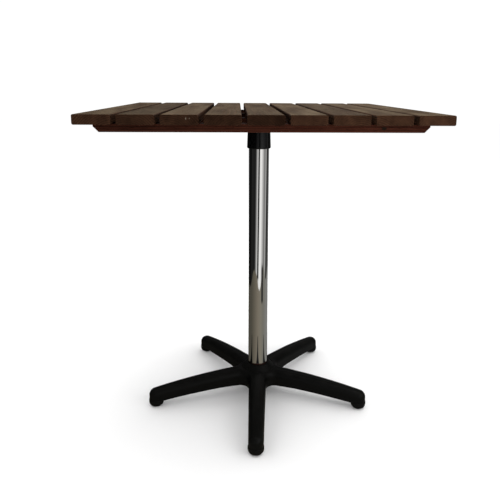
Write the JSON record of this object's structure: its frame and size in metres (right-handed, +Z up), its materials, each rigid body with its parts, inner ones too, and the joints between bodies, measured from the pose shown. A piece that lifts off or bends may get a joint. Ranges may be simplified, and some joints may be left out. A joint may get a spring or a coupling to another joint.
{
  "type": "bistro table",
  "caption": "Square slatted hardwood top on battens and a spider bracket, over one chromed column and a star base of curved arms with screw-in levelling feet.",
  "frame": {"origin": "on the floor, under the middle of the column and of the top", "axes": "+Z up; the slats run along Y, the battens along X, and the front is -Y"},
  "size_m": [0.7, 0.7, 0.75],
  "materials": {
    "slat_wood": "oiled dark brown hardwood, satin",
    "batten_wood": "oiled reddish-brown hardwood, satin",
    "spider_paint": "black powder coat, satin",
    "column_chrome": "polished chrome plate",
    "collar_plastic": "black moulded plastic, satin",
    "base_paint": "black powder coat, satin",
    "glide_plastic": "black moulded plastic, matt",
    "plated_steel": "zinc plated"
  },
  "bodies": {
    "frame": {"slat_1": "slat_wood", "slat_2": "slat_wood", "slat_3": "slat_wood", "slat_4": "slat_wood", "slat_5": "slat_wood", "slat_6": "slat_wood", "slat_7": "slat_wood", "slat_8": "slat_wood", "slat_9": "slat_wood", "batten_front": "batten_wood", "batten_mid_front": "batten_wood", "batten_mid_rear": "batten_wood", "batten_rear": "batten_wood", "slat_screws": "plated_steel", "spider_screws": "plated_steel", "top_spider": "spider_paint", "column_tube": "column_chrome", "column_collar": "collar_plastic", "tie_rod": "plated_steel", "tie_rod_top_nut": "plated_steel", "tie_rod_bottom_nut": "plated_steel", "tie_rod_washer": "plated_steel", "base_star": "base_paint"},
    "foot_1": {"foot_pad_1": "glide_plastic", "foot_stud_1": "plated_steel"},
    "foot_2": {"foot_pad_2": "glide_plastic", "foot_stud_2": "plated_steel"},
    "foot_3": {"foot_pad_3": "glide_plastic", "foot_stud_3": "plated_steel"},
    "foot_4": {"foot_pad_4": "glide_plastic", "foot_stud_4": "plated_steel"},
    "foot_5": {"foot_pad_5": "glide_plastic", "foot_stud_5": "plated_steel"}
  },
  "joints": [
    {"name": "foot_1_level", "type": "slide", "parent": "frame", "child": "foot_1", "axis": [0, 0, -1], "range_m": [0, 0.008]},
    {"name": "foot_2_level", "type": "slide", "parent": "frame", "child": "foot_2", "axis": [0, 0, -1], "range_m": [0, 0.008]},
    {"name": "foot_3_level", "type": "slide", "parent": "frame", "child": "foot_3", "axis": [0, 0, -1], "range_m": [0, 0.008]},
    {"name": "foot_4_level", "type": "slide", "parent": "frame", "child": "foot_4", "axis": [0, 0, -1], "range_m": [0, 0.008]},
    {"name": "foot_5_level", "type": "slide", "parent": "frame", "child": "foot_5", "axis": [0, 0, -1], "range_m": [0, 0.008]}
  ]
}
